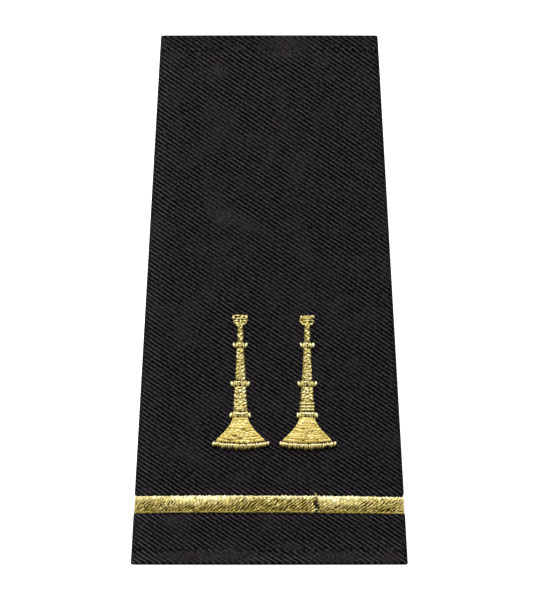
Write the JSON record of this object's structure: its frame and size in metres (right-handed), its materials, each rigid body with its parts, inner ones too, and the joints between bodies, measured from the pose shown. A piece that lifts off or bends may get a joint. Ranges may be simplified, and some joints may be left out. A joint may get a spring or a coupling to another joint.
{
  "type": "shoulder board slide",
  "caption": "Soft tapered cloth tube that slides over a uniform's shoulder strap, with embroidered trumpets and a stripe of gold thread on its crowned face.",
  "frame": {"origin": "middle of the flat strip of the back, on the surface that it lies on, halfway between the two hemmed ends", "axes": "+Z out of the embroidered face, +Y along the board towards its narrow end, +X to the right seen from the face"},
  "size_m": [0.0566, 0.108, 0.0095],
  "materials": {
    "black_twill": "matte",
    "gold_thread": "satin"
  },
  "bodies": {
    "root": {"cloth_tube": "black_twill", "stripe_long": "gold_thread", "stripe_short": "gold_thread", "left_mouth_rim": "gold_thread", "left_mouth_cup": "gold_thread", "left_upper_tube": "gold_thread", "left_upper_ring": "gold_thread", "left_middle_tube": "gold_thread", "left_middle_ring": "gold_thread", "left_lower_tube": "gold_thread", "left_lower_ring": "gold_thread", "left_bell": "gold_thread", "left_bell_rim": "gold_thread", "right_mouth_rim": "gold_thread", "right_mouth_cup": "gold_thread", "right_upper_tube": "gold_thread", "right_upper_ring": "gold_thread", "right_middle_tube": "gold_thread", "right_middle_ring": "gold_thread", "right_lower_tube": "gold_thread", "right_lower_ring": "gold_thread", "right_bell": "gold_thread", "right_bell_rim": "gold_thread"}
  },
  "joints": []
}
